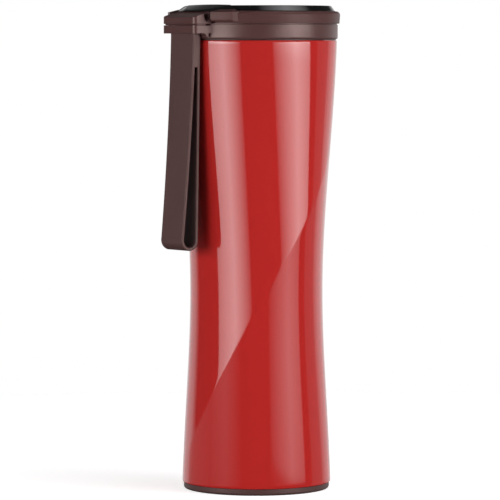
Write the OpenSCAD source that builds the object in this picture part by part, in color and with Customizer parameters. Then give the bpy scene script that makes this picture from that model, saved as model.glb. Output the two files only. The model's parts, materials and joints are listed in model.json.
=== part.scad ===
// Insulated travel mug with a hinged flip cover and a folded carrying strap.
// The origin is the centre of the base, Z points up and the strap hangs on the -X side.
// Sizes are in millimetres and angles in degrees.

/* [Body] */
// Height of the painted shell between base pad and lid
body_h = 200; // [185:1:230]
// Shell radius at the top edge
top_r = 36.4; // [35.4:0.1:40]
// Shell radius at the waist
waist_r = 30; // [28:0.1:32]
// Height of the waist above the table
waist_z = 89.6; // [75:0.1:105]
// Shell radius at the bottom edge
base_r = 33.65; // [32:0.05:36]
// Outward slope left at the top edge, 0 for upright
top_flare = 0.5; // [0:0.05:1]
// Outward slope left at the bottom edge, 0 for upright
base_flare = 0.6; // [0:0.05:1]
// Sheet thickness of the outer shell
shell_wall = 0.6; // [0.4:0.1:1]
// Flat land left on the shell's rolled end edges
end_land = 0.15; // [0.1:0.05:0.3]
// Sheet thickness of the inner flask
liner_wall = 0.6; // [0.4:0.1:1]
// Vacuum space between shell and flask
vacuum_gap = 2.2; // [1.5:0.1:3]
// Distance of the neck's inner face inside the shell's top edge
neck_inset = 5.4; // [4.9:0.1:7.4]
// Corner radius at the floor of the flask
floor_round = 7; // [3:0.5:10]

/* [Waist crease] */
// How far the crease stays inside the shell's top edge, front and back
crease_inset = 0.9; // [0.4:0.1:5]
// How much further out it stands towards its high side, 0 for evenly
crease_skew = 0.3; // [0:0.05:0.5]
// Height of the crease half way along its climb
crease_mid_z = 83; // [70:1:100]
// Climb of the crease above and below that height
crease_rise = 57; // [30:1:62]
// Direction in which the crease is highest
crease_side = -36.4; // [-90:0.1:90]

/* [Base] */
// Visible height of the base pad
pad_h = 3; // [2:0.1:5]
// How far the pad stands inside the shell's edge
pad_inset = 0.65; // [0.3:0.05:1]
// Edge radius under the pad
pad_round = 1.2; // [0.5:0.1:1.8]
// Distance of the groove under the pad from the pad's edge
groove_inset = 9.9; // [6:0.1:14]
// Width of that groove
groove_w = 2; // [1:0.1:3]
// Depth of that groove
groove_d = 0.6; // [0.3:0.1:1]
// Height of the pad's boss inside the shell
boss_h = 1.35; // [0.8:0.05:2.5]
// Sheet thickness of the shell bottom
bottom_t = 0.8; // [0.5:0.1:1.5]
// Radius of the evacuation port's dimple
port_r = 2.5; // [1.5:0.1:4]
// Depth of that dimple
port_d = 0.4; // [0.2:0.05:0.4]
// Space between shell bottom and flask
bottom_gap = 3.2; // [2.6:0.1:6]
// Radius of the getter tablet
getter_r = 6; // [3:0.5:10]
// Thickness of the getter tablet
getter_t = 2; // [1:0.1:2.4]

/* [Lid] */
// Shadow gap between shell and lid collar
lid_gap = 0.4; // [0.3:0.05:1]
// Height of the lid collar
collar_h = 6.6; // [5.5:0.1:9]
// How far the collar stands outside the shell
collar_step = 0.35; // [0:0.05:1]
// Wall of the lid collar
collar_wall = 2.6; // [2:0.1:3]
// Edge radius under the collar
collar_round = 1; // [0.3:0.1:1.5]
// Depth of the lid plug in the neck
plug_depth = 16; // [10:0.5:22]
// Wall of the lid plug
plug_wall = 2; // [1.2:0.1:3]
// Play between lid plug and neck
plug_gap = 0.4; // [0.3:0.05:0.6]
// Height of the lid gasket
gasket_h = 1.2; // [0.8:0.1:1.6]
// Edge radius under the lid gasket
gasket_round = 0.4; // [0.2:0.05:0.5]
// Depth of the drinking deck below the collar's top
well_depth = 1.4; // [1:0.1:2]
// Thickness of the drinking deck
deck_t = 1.8; // [1.2:0.1:2]
// Half width of the drinking hole
spout_r = 4.5; // [3:0.1:5]
// Half distance between the drinking hole's round ends
spout_half = 4; // [1:0.5:6]
// Deck left between the drinking hole and the plug's wall
spout_margin = 2.1; // [1.6:0.1:4]
// Radius of the vent hole
vent_r = 1.5; // [1:0.1:2]
// Vent hole, distance from the axis towards the drinking side
vent_x = 4; // [0:0.5:8]
// Vent hole, distance to the side
vent_y = 20; // [17:0.5:21]

/* [Hinge and lug] */
// Half width of the strap lug and of the hinge block
lug_half = 12.65; // [12.4:0.05:13.2]
// How far the lug stands outside the collar
lug_reach = 6.45; // [6.2:0.05:7.5]
// Height of the strap lug
lug_h = 3.6; // [3.4:0.1:4.2]
// Depth of the lug's top below the collar's top
lug_drop = 0.4; // [0.3:0.05:0.5]
// Corner radius of lug and block in plan
lug_round = 2; // [0.5:0.1:2.2]
// Shadow gap between lug and hinge block
block_gap = 0.65; // [0.6:0.05:0.9]
// Height of the hinge block
block_h = 5.4; // [4.8:0.1:5.4]
// Drop of the block's sloping top at its outer edge
block_slope_drop = 1.7; // [1:0.1:3]
// Length of the block's sloping top
block_slope_l = 3.6; // [2:0.1:4.2]
// Distance of the hinge pin inside the collar's edge
hinge_inset = 2.75; // [2.45:0.05:3.25]
// Radius of the hinge pin
pin_r = 0.8; // [0.6:0.05:0.9]
// Wall of the block's knuckle round the pin
knuckle_wall = 0.8; // [0.6:0.05:1]
// Length of pin inside each ear
pin_grip = 2.9; // [1.5:0.1:3]
// Opening angle of the flip cover
cover_open = 95; // [60:1:95]

/* [Flip cover] */
// Shadow gap between collar and cover
cover_gap = 0.5; // [0.4:0.05:0.7]
// Height of the cover ring
cover_h = 5.5; // [5.5:0.1:7]
// How far the cover ring stands outside the collar
cover_step = 1.05; // [0.5:0.05:1.5]
// Inward taper of the cover ring at its bottom edge
cover_taper = 0.3; // [0:0.05:0.6]
// Wall of the cover ring
cover_wall = 2.8; // [2.4:0.1:3]
// Depth of the ledge that carries the window
ledge_t = 1.3; // [1:0.1:1.6]
// Width of that ledge
ledge_w = 1; // [0.6:0.1:1.4]
// Edge radius on top of the ring
cover_round = 1.8; // [0.8:0.1:2]
// Thickness of the plate under the cover
base_plate_t = 1.5; // [1.4:0.1:1.8]
// How far the plate's splash rim dips into the collar
rim_dip = 0.9; // [0.6:0.1:1]
// Wall of that splash rim
rim_wall = 1.2; // [0.8:0.1:1.6]
// Inner face of the hinge ears, from the middle plane
ear_in = 15.5; // [15.3:0.1:16]
// Width of each hinge ear
ear_w = 9.3; // [6:0.1:10]
// How far the ears stand outside the cover ring
ear_step = 2.2; // [1.9:0.1:3]
// Height of the ears above the cover's lower edge
ear_lift = 0.8; // [0.6:0.1:1.5]
// Edge radius under the ears
ear_round = 1; // [0.4:0.1:1.5]
// Rise of the ears' sloping top
ear_slope = 1.1; // [0.5:0.1:1.6]
// Height of the black window's edge
window_h = 2.5; // [1.6:0.1:4]
// How far the window's foot stands inside the ring
window_inset = 2.2; // [2:0.1:2.5]
// Slope of the window's edge, run per rise
window_lean = 0.73; // [0.2:0.01:1]
// Width of the hinge cap from its ridge to its outer edge
cap_w = 9.4; // [7.6:0.1:11.6]
// Rise of the ridge above the window
ridge_rise = 0.5; // [0.4:0.1:2]
// Fall of the hinge cap from ridge to outer edge
ridge_fall = 2.8; // [1:0.1:2.9]
// Shadow line between window and hinge cap
window_gap = 0.15; // [0.05:0.05:0.4]
// Margin of the spout seal round the drinking hole
seal_margin = 2.5; // [1:0.1:3]
// Radius of the temperature sensor's cap
sensor_r = 3; // [2:0.1:4]

/* [Electronics] */
// Radius of the coin cell
cell_r = 10; // [8:0.5:10]
// Thickness of the coin cell
cell_t = 3.2; // [1.6:0.1:3.2]
// Edge radius under the coin cell
cell_round = 0.4; // [0.2:0.05:0.5]
// Circuit board left outside the coin cell
board_rim = 3.4; // [2.4:0.1:4.4]
// Distance of the circuit board's edge inside the cover's plate
board_inset = 7.95; // [7.95:0.05:9.95]
// Thickness of the circuit board
board_t = 1; // [0.6:0.1:1.2]
// Height of the circuit board above the cover's plate
board_lift = 1.6; // [1:0.1:1.8]
// Length of the display module
display_l = 26; // [16:0.5:28]
// Width of the display module
display_w = 14; // [8:0.5:18]
// Distance of the display module inside the circuit board's edge
display_inset = 8; // [7:0.5:10]
// Thickness of the battery contact strip
contact_t = 0.3; // [0.2:0.05:0.4]
// Overhang of the battery contact strip past the cell at each end
contact_over = 4; // [3:0.1:5]
// Width of the battery contact strip
contact_w = 5; // [3:0.1:8]
// Radial margin of the battery door round the cell
door_margin = 1.5; // [1:0.1:2]
// Thickness of the lip that holds the battery door
door_lip_t = 0.7; // [0.6:0.05:0.8]
// Reach of the door's bayonet lugs
door_lug = 1; // [0.6:0.1:1.4]
// Angle from locked to free for the battery door
door_turn = 60; // [40:1:80]
// Thickness of the battery door's seal ring
door_seal_t = 0.6; // [0.4:0.05:0.6]
// Distance of the cover screws inside the plate's edge
screw_inset = 4.45; // [3.95:0.05:4.95]
// Direction of the first cover screw
screw_dir = 50; // [46:1:60]

/* [Strap] */
// Width of the strap
strap_w = 17.2; // [12:0.1:17.6]
// Thickness of the strap's single head
strap_t = 3.95; // [3:0.05:4.1]
// Gap between collar and strap
strap_gap = 0.95; // [0.6:0.05:1]
// Thickness of each of the two bands at the fold
band_t = 1.5; // [1:0.1:2]
// Length from the bending line under the lug to the fold
strap_l = 94; // [60:1:100]
// Length of the single head below the bending line
slit_drop = 12.6; // [8:0.1:30]
// Sideways run of the outer band on its way down to the fold
outer_step = 6.15; // [4.5:0.05:9]
// Sideways run of the inner band on its way down to the fold
inner_step = 1.4; // [1:0.05:2]
// Overhang of the strap's anchor bar on each side
anchor_step = 1; // [0.6:0.1:1]

/* [Clearances] */
// Gap between pieces that are fixed together
seat_gap = 0.05; // [0.02:0.01:0.08]
// Gap between pieces that move past each other
run_gap = 0.3; // [0.25:0.05:0.35]
// Radial play of the hinge pin
pin_gap = 0.05; // [0.02:0.01:0.08]

/* [Hidden] */
$fn = 96;

red_paint = [0.70, 0.15, 0.14];
brown_plastic = [0.34, 0.26, 0.26];
black_gloss = [0.05, 0.05, 0.06];
silicone = [0.31, 0.23, 0.23];
steel = [0.75, 0.75, 0.77];
board_green = [0.10, 0.32, 0.20];

// Overshoot of a cutting shape past the face that it cuts
over = 1;

// Heights from the table up
shell_z0 = pad_h;
shell_z1 = shell_z0 + body_h;
bottom_z0 = shell_z0 + boss_h + seat_gap;
bottom_z1 = bottom_z0 + bottom_t;
flask_z0 = bottom_z1 + bottom_gap;
collar_z0 = shell_z1 + lid_gap;
collar_z1 = collar_z0 + collar_h;
cover_z0 = collar_z1 + cover_gap;
cover_z1 = cover_z0 + cover_h;
plate_z1 = cover_z0 + base_plate_t;
window_z1 = cover_z1 + window_h;
ridge_z = window_z1 + ridge_rise;
deck_z1 = collar_z1 - well_depth;
deck_z0 = deck_z1 - deck_t;
gasket_z0 = shell_z1 + run_gap;
gasket_z1 = gasket_z0 + gasket_h;
plug_z0 = shell_z1 - plug_depth;
lug_z1 = collar_z1 - lug_drop;
lug_z0 = lug_z1 - lug_h;
block_z0 = lug_z1 + block_gap;
block_z1 = block_z0 + block_h;

// Wall of the shell: pinched at the sides and pulled out along a crease that lies in one tilted plane
columns = 60;
roll_rows = 2;
lower_rows = 10;
upper_rows = 14;
flask_rows = 16;
crease_row = roll_rows + lower_rows;
high_row = crease_row + upper_rows;
last_row = high_row + roll_rows;
inner_rows = lower_rows + upper_rows;
end_roll = shell_wall - end_land;
low_z = shell_z0 + end_roll;
high_z = shell_z1 - end_roll;

crease_out = top_r - waist_r - crease_inset;

function ease(t, slope) = (3 - slope) * t * t - (2 - slope) * t * t * t;

function body_r(z) =
    z >= waist_z
    ? waist_r + (top_r - waist_r) * ease((z - waist_z) / (shell_z1 - waist_z), top_flare)
    : waist_r + (base_r - waist_r) * ease((waist_z - z) / (waist_z - shell_z0), base_flare);

function crease_z(a) = crease_mid_z + crease_rise * cos(a - crease_side);

// Like a string held at both ends and pulled at the crease
function crease_pull(a, z) =
    crease_out * (1 - pow(cos(a - crease_side), 4)) * (1 + crease_skew * cos(a - crease_side))
    * 4 * (min(z, crease_z(a)) - shell_z0) * (shell_z1 - max(z, crease_z(a))) / pow(body_h, 2);

function wall_r(a, z) = body_r(z) + crease_pull(a, z);

function skin_z(j, a) =
    j < roll_rows ? shell_z0 + end_roll * (1 - cos(90 * j / roll_rows)) :
    j <= crease_row ? low_z + (crease_z(a) - low_z) * (j - roll_rows) / lower_rows :
    j <= high_row ? crease_z(a) + (high_z - crease_z(a)) * (j - crease_row) / upper_rows :
    high_z + end_roll * sin(90 * (j - high_row) / roll_rows);

function skin_roll(j) =
    j < roll_rows ? end_roll * (1 - sin(90 * j / roll_rows)) :
    j > high_row ? end_roll * (1 - cos(90 * (j - high_row) / roll_rows)) :
    0;

function skin_point(j, a) =
    let (z = skin_z(j, a), r = wall_r(a, z) - skin_roll(j))
    [r * cos(a), r * sin(a), z];

function inner_z(j, a) =
    j <= lower_rows
    ? shell_z0 + (crease_z(a) - shell_z0) * j / lower_rows
    : crease_z(a) + (shell_z1 - crease_z(a)) * (j - lower_rows) / upper_rows;

function inner_point(j, a) =
    let (z = inner_z(j, a), r = wall_r(a, z) - shell_wall)
    [r * cos(a), r * sin(a), z];

// Radii inside the shell
mouth_r = top_r - neck_inset;
function cavity_r(z) = body_r(z) - shell_wall;
function flask_out(z) = min(mouth_r + liner_wall, cavity_r(z) - vacuum_gap);
function flask_in(z) = flask_out(z) - liner_wall;
bottom_r = min(cavity_r(shell_z0), cavity_r(bottom_z1)) - seat_gap;
skirt_r = bottom_r - bottom_t;
pad_r = base_r - pad_inset;
rim_t = 0.8;
floor_steps = 4;

// Radii of the lid
collar_r = top_r + collar_step;
collar_in = collar_r - collar_wall;
plug_r = flask_in(plug_z0) - plug_gap;
flange_r = collar_in - seat_gap;
spout_x = plug_r - plug_wall - spout_r - spout_margin;
gasket_out = flange_r - 2 * run_gap;
gasket_in = plug_r + run_gap;

// Radii of the flip cover
cover_r = collar_r + cover_step;
plate_seat_r = cover_r - cover_wall;
plate_r = plate_seat_r - seat_gap;
splash_r = collar_in - 2 * run_gap;
ledge_r = plate_seat_r - ledge_w;
ear_r = cover_r + ear_step;
window_r = cover_r - window_inset;
ridge_u = window_r - cap_w;
function window_edge(z) = window_r - window_lean * (z - cover_z1);

// Hinge: the pin runs along Y through block and ears, close under the hinge cap
hinge_u = collar_r - hinge_inset;
knuckle_r = pin_r + knuckle_wall;
hinge_z = cover_z1 - knuckle_r - run_gap;
pin_half = ear_in + pin_grip;
lug_u = collar_r + lug_reach;
block_u0 = hinge_u - knuckle_r;
slot_u = block_u0 - run_gap;
hinge_wall_t = 1;
cap_slope = ridge_fall / cap_w;
// The cap's lower edge passes the block: the block is hollowed clear of that sweep
cap_top_over_pin = ridge_z - cap_slope * (hinge_u - ridge_u) - hinge_z;
cap_tilt = atan(cap_slope);
cap_turned = cover_open + cap_tilt - 90;
cap_reach = cap_top_over_pin * cos(cap_tilt) + run_gap;
block_over_pin = block_z1 - hinge_z;
sweep_u = (cap_reach + block_over_pin * sin(cap_turned)) / cos(cap_turned);
sweep_r = norm([sweep_u, block_over_pin]);
sweep_spare = 4;
sweep_low = atan2(cover_z1 - hinge_z, window_r - hinge_u) - cover_open - sweep_spare;
sweep_far = 3 * sweep_r;
block_foot_inset = 1.2;
block_foot_side = 0.3;
block_foot_round = 1;

// Strap, in the plane of the lug
strap_u0 = collar_r + strap_gap;
strap_u1 = strap_u0 + strap_t;
strap_u = (strap_u0 + strap_u1) / 2;
strap_nose = strap_t / 2;
bend_z = lug_z0 - strap_nose - 2 * run_gap;
fold_u0 = strap_u0 + inner_step;
fold_u1 = strap_u1 + outer_step;
fold_r = (fold_u1 - fold_u0) / 2;
fold_u = (fold_u0 + fold_u1) / 2;
fold_z = bend_z - strap_l + fold_r;
anchor_half = strap_w / 2 + anchor_step;
anchor_floor = 1.2;
anchor_z0 = lug_z0 + anchor_floor;
lug_screw_edge = 1.45;
lug_screw_y = lug_half - lug_screw_edge;
lug_screw_r = 0.7;
lug_head_r = 1.1;
lug_head_h = 1;
lug_screw_bite = 1.4;
lug_screw_l = lug_h + block_gap + lug_screw_bite;

// Inside of the flip cover
cell_z0 = plate_z1 + run_gap;
cell_z1 = cell_z0 + cell_t;
board_r = plate_r - board_inset;
board_hole_r = cell_r + 2 * run_gap;
cell_u = board_r - board_rim - board_hole_r;
display_x = board_r - display_inset - display_w / 2;
board_z0 = plate_z1 + board_lift;
board_z1 = board_z0 + board_t;
display_z0 = board_z1 + seat_gap;
display_z1 = cover_z1 - 2 * seat_gap;
contact_z0 = cell_z1 + seat_gap;
contact_half = cell_r + contact_over;
contact_foot = 2;
door_r = cell_r + door_margin;
door_hole_r = door_r + run_gap;
door_lug_w = 5;
door_slot_l = 14;
door_slot_w = 1.6;
door_slot_d = 0.6;
cover_screw_r = 0.8;
cover_head_r = 1.5;
cover_head_h = 0.8;
cover_post_r = 1.9;
standoff_r = 1.5;
standoff_inset = 2.9;
standoff_dir = 41.6;
standoff_gap = 4.2;
standoff_mid = door_hole_r + door_lug + standoff_gap - cell_u;
screw_ring = plate_r - screw_inset;
cover_screw_dirs = [screw_dir, 180 - screw_dir, 180 + screw_dir, -screw_dir];
standoff_ring = board_r - standoff_inset;
standoffs = concat(
    [for (s = [-1, 1]) standoff_ring * [cos(standoff_dir), s * sin(standoff_dir)]],
    [[standoff_mid, 0]]
);

// Helpers

// The strap side is drawn along +X and turned to -X
module strap_side() rotate([0, 0, 180]) children();

// A side profile in X and Z, made solid across Y
module along_y(w) rotate([90, 0, 0]) linear_extrude(height = w, center = true) children();

// A slab of the mirrored pair that lies between two distances from the middle plane
module side_pair(y0, y1)
    for (s = [-1, 1])
        translate([0, s * (y0 + y1) / 2, 0]) along_y(y1 - y0) children();

// What a rounded outer corner at (x, z) loses; sx and sz point out of the profile
module corner_cut(x, z, r, sx, sz)
    translate([x - sx * r, z - sz * r])
    difference() {
        translate([sx > 0 ? 0 : -r - over, sz > 0 ? 0 : -r - over]) square(r + over);
        circle(r = r);
    }

module box2(x0, x1, z0, z1) translate([x0, z0]) square([x1 - x0, z1 - z0]);

module tube(r_out, r_in, z0, z1)
    translate([0, 0, z0])
    difference() {
        cylinder(r = r_out, h = z1 - z0);
        translate([0, 0, -over]) cylinder(r = r_in, h = z1 - z0 + 2 * over);
    }

// Plan of lug and hinge block: two rounded corners on the outside
module lug_plan(u0, u1, half, r) {
    translate([u0, -half]) square([u1 - r - u0, 2 * half]);
    translate([u0, -half + r]) square([u1 - u0, 2 * (half - r)]);
    for (s = [-1, 1]) translate([u1 - r, s * (half - r)]) circle(r = r);
}

// Long hole with round ends, across the drinking side
module spout_plan(r) {
    for (s = [-1, 1]) translate([spout_x, s * spout_half]) circle(r = r);
    translate([spout_x - r, -spout_half]) square([2 * r, 2 * spout_half]);
}

module at_cover_screws()
    for (a = cover_screw_dirs)
        rotate([0, 0, a]) translate([screw_ring, 0, 0]) children();

module at_lug_screws()
    for (s = [-1, 1])
        translate([strap_u, s * lug_screw_y, 0]) children();

// Edge cone of the black window, from its foot up to z1
module window_cone(clear, z1)
    rotate_extrude()
    polygon([[0, cover_z1 - clear], [window_r + clear, cover_z1 - clear], [window_r + clear, cover_z1],
             [window_edge(z1) + clear, z1], [0, z1]]);

// Body pieces

// Even sheet: rows of points go up the outside and come back down the inside
module outer_shell() color(red_paint)
    let (
        turns = [for (i = [0:columns - 1]) 360 * i / columns],
        outside = [for (j = [0:last_row], a = turns) skin_point(j, a)],
        inside = [for (j = [inner_rows:-1:0], a = turns) inner_point(j, a)],
        rows = last_row + inner_rows + 2
    )
    polyhedron(
        points = concat(outside, inside),
        faces = [
            for (j = [0:rows - 1], i = [0:columns - 1], upper = [true, false])
                let (
                    here = j * columns,
                    next = (j + 1) % rows * columns,
                    beside = (i + 1) % columns
                )
                upper ? [here + i, next + i, next + beside] : [here + i, next + beside, here + beside]
        ]
    );

// Side of the flask with its rounded floor, moved inwards by a wall
module flask_side(wall, z_top)
    let (zf = flask_z0 + wall, r = floor_round - wall, zc = flask_z0 + floor_round)
    polygon(concat(
        [[0, zf]],
        [for (k = [0:floor_steps])
            let (a = 90 * k / floor_steps) [flask_out(zc) - floor_round + r * sin(a), zc - r * cos(a)]],
        [for (k = [1:flask_rows])
            let (z = zc + (shell_z1 - zc) * k / flask_rows) [flask_out(z) - wall, z]],
        [[flask_out(shell_z1) - wall, z_top], [0, z_top]]
    ));

module inner_flask() color(steel)
    rotate_extrude()
    difference() {
        union() {
            flask_side(0, shell_z1);
            box2(flask_in(shell_z1), cavity_r(shell_z1 - rim_t) - seat_gap, shell_z1 - rim_t, shell_z1);
        }
        flask_side(liner_wall, shell_z1 + over);
    }

// Pressed cap that closes the shell, with the dimple of the evacuation port
module shell_bottom() color(steel)
    rotate_extrude()
    difference() {
        union() {
            box2(0, bottom_r, bottom_z0, bottom_z1);
            box2(skirt_r, bottom_r, shell_z0 + seat_gap, bottom_z1);
        }
        polygon([[0, bottom_z0 - over], [port_r, bottom_z0 - over], [port_r, bottom_z0],
                 [0, bottom_z0 + port_d]]);
    }

module getter() color("dimgray")
    translate([0, 0, bottom_z1 + seat_gap]) cylinder(r = getter_r, h = getter_t);

// Silicone foot: its boss sits in the pressed cap, a groove runs round its flat face
module base_pad() color(silicone)
    let (groove_r = pad_r - groove_inset)
    rotate_extrude()
    difference() {
        union() {
            box2(0, pad_r, 0, shell_z0 - seat_gap);
            box2(0, skirt_r - seat_gap, 0, shell_z0 + boss_h);
        }
        corner_cut(pad_r, 0, pad_round, 1, -1);
        box2(groove_r, groove_r + groove_w, -over, groove_d);
    }

// Lid pieces

module lid_gasket() color("gainsboro")
    rotate_extrude()
    difference() {
        box2(gasket_in, gasket_out, gasket_z0, gasket_z1);
        corner_cut(gasket_out, gasket_z0, gasket_round, 1, -1);
        corner_cut(gasket_in, gasket_z0, gasket_round, -1, -1);
    }

// Concave brackets where the lug meets the collar, on both sides of the strap
module lug_bracket()
    let (r = lug_z0 - collar_z0 - collar_round)
    side_pair(strap_w / 2 + 2 * run_gap, lug_half)
    difference() {
        box2(collar_r - collar_wall / 2, collar_r + r, lug_z0 - r, lug_z0 + over);
        translate([collar_r + r, lug_z0 - r]) circle(r = r);
    }

module lid_collar() color(brown_plastic)
    difference() {
        union() {
            rotate_extrude()
            difference() {
                box2(collar_in, collar_r, collar_z0, collar_z1);
                corner_cut(collar_r, collar_z0, collar_round, 1, -1);
            }
            strap_side() {
                translate([0, 0, lug_z0])
                difference() {
                    linear_extrude(height = lug_h)
                    lug_plan(collar_in, lug_u, lug_half, lug_round);
                    translate([0, 0, -over]) cylinder(r = collar_r - collar_wall / 2, h = lug_h + 2 * over);
                }
                lug_bracket();
            }
        }
        strap_side() {
            // Pocket of the anchor bar, open at the top, and the slot of the strap below it
            translate([strap_u0 - run_gap, -anchor_half - run_gap, anchor_z0])
            cube([strap_t + 2 * run_gap, 2 * (anchor_half + run_gap), lug_h]);
            translate([strap_u0 - run_gap, -strap_w / 2 - run_gap, lug_z0 - over])
            cube([strap_t + 2 * run_gap, strap_w + 2 * run_gap, lug_h]);
            at_lug_screws() {
                translate([0, 0, lug_z0 - over])
                cylinder(r = lug_screw_r + seat_gap, h = lug_h + 2 * over);
                translate([0, 0, lug_z0 - over])
                cylinder(r = lug_head_r + seat_gap, h = lug_head_h + over);
            }
        }
    }

// Threaded insert: skirt in the neck, flange under the collar, deck with hole and vent
module lid_plug() color(brown_plastic)
    difference() {
        rotate_extrude()
        difference() {
            union() {
                box2(0, plug_r, plug_z0, deck_z1);
                box2(0, flange_r, gasket_z1 + run_gap, deck_z1);
            }
            box2(-over, plug_r - plug_wall, plug_z0 - over, deck_z0);
        }
        translate([0, 0, deck_z0 - over]) {
            linear_extrude(height = deck_t + 2 * over) spout_plan(spout_r);
            translate([vent_x, vent_y, 0]) cylinder(r = vent_r, h = deck_t + 2 * over);
        }
    }

// Side of the hinge block: hollowed where the cap's edge swings past, with a knuckle on a web
module block_side() {
    difference() {
        polygon([[block_u0, block_z0], [lug_u, block_z0], [lug_u, block_z1 - block_slope_drop],
                 [lug_u - block_slope_l, block_z1], [block_u0, block_z1]]);
        translate([hinge_u, hinge_z])
        intersection() {
            circle(r = sweep_r);
            polygon([[0, 0], sweep_far * [cos(sweep_low), sin(sweep_low)],
                     sweep_far * [1, 1], sweep_far * [-1, 1], sweep_far * [-1, 0]]);
        }
        box2(block_u0 - over, hinge_u, hinge_z, block_z1 + over);
    }
    translate([hinge_u, hinge_z]) circle(r = knuckle_r);
}

// Foot that stands on collar and lug and leaves a shadow gap under the block
module block_foot(u0, z)
    translate([0, 0, z + seat_gap])
    linear_extrude(height = block_z0 + over - z - seat_gap)
    lug_plan(u0, lug_u - block_foot_inset, lug_half - block_foot_side, block_foot_round);

module hinge_block() color(brown_plastic)
    strap_side()
    difference() {
        union() {
            intersection() {
                along_y(2 * lug_half) block_side();
                linear_extrude(height = window_z1) lug_plan(block_u0, lug_u, lug_half, lug_round);
            }
            block_foot(block_u0, collar_z1);
            block_foot(collar_r + run_gap, lug_z1);
        }
        translate([hinge_u, 0, hinge_z]) rotate([90, 0, 0])
        cylinder(r = pin_r + seat_gap / 2, h = 2 * lug_half + 2 * over, center = true);
        at_lug_screws()
        translate([0, 0, lug_z1 - over])
        cylinder(r = lug_screw_r + seat_gap, h = lug_screw_l - lug_h + over + seat_gap);
    }

module lug_screws() color(steel)
    strap_side() at_lug_screws()
    translate([0, 0, lug_z0]) {
        cylinder(r = lug_head_r, h = lug_head_h - seat_gap);
        cylinder(r = lug_screw_r, h = lug_screw_l);
    }

module hinge_pin() color(steel)
    strap_side()
    translate([hinge_u, 0, hinge_z]) rotate([90, 0, 0])
    cylinder(r = pin_r, h = 2 * pin_half, center = true);

module pin_spacers() color(black_gloss)
    strap_side()
    for (s = [-1, 1])
        translate([hinge_u, s * (lug_half + ear_in - run_gap + seat_gap) / 2, hinge_z])
        rotate([90, 0, 0])
        difference() {
            cylinder(r = knuckle_r - 2 * seat_gap, h = ear_in - lug_half - run_gap - seat_gap, center = true);
            cylinder(r = pin_r + seat_gap / 2, h = ear_in, center = true);
        }

// Anchor bar of the strap in its pocket, with the neck that passes the lug
module strap_root() color(silicone)
    strap_side() {
        translate([strap_u0, -anchor_half, anchor_z0 + seat_gap])
        cube([strap_t, 2 * anchor_half, lug_z1 - anchor_z0 - 2 * seat_gap]);
        translate([strap_u0, -strap_w / 2, bend_z + strap_nose + run_gap])
        cube([strap_t, strap_w, anchor_z0 + seat_gap - bend_z - strap_nose - run_gap]);
    }

// Flip cover pieces

// Ears that straddle the hinge block, with a sloping top that carries on the hinge cap's fall
module ears()
    intersection() {
        rotate_extrude()
        difference() {
            polygon([[ledge_r, cover_z0 + ear_lift], [ear_r, cover_z0 + ear_lift], [ear_r, cover_z1],
                     [window_r, cover_z1 + ear_slope], [ledge_r, cover_z1 + ear_slope]]);
            corner_cut(ear_r, cover_z0 + ear_lift, ear_round, 1, -1);
        }
        side_pair(ear_in, ear_in + ear_w) box2(0, ear_r + over, cover_z0, ridge_z);
    }

module cover_ring() color(brown_plastic)
    difference() {
        union() {
            difference() {
                rotate_extrude()
                difference() {
                    polygon([[ledge_r, cover_z0], [cover_r - cover_taper, cover_z0],
                             [cover_r, cover_z1 - cover_round], [cover_r, cover_z1], [ledge_r, cover_z1]]);
                    corner_cut(cover_r, cover_z1, cover_round, 1, 1);
                    box2(ledge_r - over, plate_seat_r, cover_z0 - over, cover_z1 - ledge_t);
                }
                strap_side()
                translate([0, -ear_in, cover_z0 - over]) cube([ear_r, 2 * ear_in, cover_h + 2 * over]);
            }
            strap_side() difference() {
                ears();
                cylinder(r = plate_seat_r, h = cover_z1 - ledge_t);
            }
        }
        window_cone(seat_gap, ridge_z);
        strap_side()
        translate([hinge_u, 0, hinge_z]) rotate([90, 0, 0])
        cylinder(r = pin_r + pin_gap, h = 2 * (pin_half + run_gap), center = true);
    }

// Closes the cover from below: splash rim, battery hatch, posts for the screws, wall towards the hinge
module cover_plate() color(brown_plastic)
    difference() {
        union() {
            difference() {
                union() {
                    translate([0, 0, cover_z0]) cylinder(r = plate_r, h = base_plate_t);
                    tube(splash_r, splash_r - rim_wall, cover_z0 - rim_dip, plate_z1);
                }
                strap_side()
                translate([slot_u, -ear_in, cover_z0 - over]) cube([ear_r, 2 * ear_in, cover_h]);
            }
            intersection() {
                strap_side()
                translate([slot_u - hinge_wall_t, -ear_in, cover_z0])
                cube([hinge_wall_t, 2 * ear_in, cover_h - seat_gap]);
                cylinder(r = ledge_r - seat_gap, h = cover_z1);
            }
            at_cover_screws()
            translate([0, 0, cover_z0]) cylinder(r = cover_post_r, h = cover_h - seat_gap);
            for (p = standoffs)
                translate([p[0], p[1], cover_z0])
                cylinder(r = standoff_r, h = base_plate_t + board_lift - seat_gap);
        }
        at_cover_screws() {
            translate([0, 0, cover_z0 - over]) cylinder(r = cover_screw_r + seat_gap, h = cover_h + over);
            translate([0, 0, cover_z0 - over])
            cylinder(r = cover_head_r + seat_gap, h = cover_head_h + over);
        }
        translate([-cell_u, 0, 0]) {
            translate([0, 0, cover_z0 - over]) cylinder(r = door_hole_r, h = base_plate_t + 2 * over);
            translate([0, 0, cover_z0 + door_lip_t])
            cylinder(r = door_hole_r + door_lug, h = base_plate_t + over);
            // Notches in the lip let the bayonet lugs out at the end of the turn
            rotate([0, 0, door_turn])
            translate([0, 0, cover_z0 + base_plate_t / 2])
            cube([2 * (door_r + door_lug + run_gap), door_lug_w + 2 * run_gap, 2 * base_plate_t],
                 center = true);
        }
    }

module cover_screws() color(steel)
    at_cover_screws()
    translate([0, 0, cover_z0]) {
        cylinder(r = cover_head_r, h = cover_head_h - seat_gap);
        cylinder(r = cover_screw_r, h = cover_h - ledge_t);
    }

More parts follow.
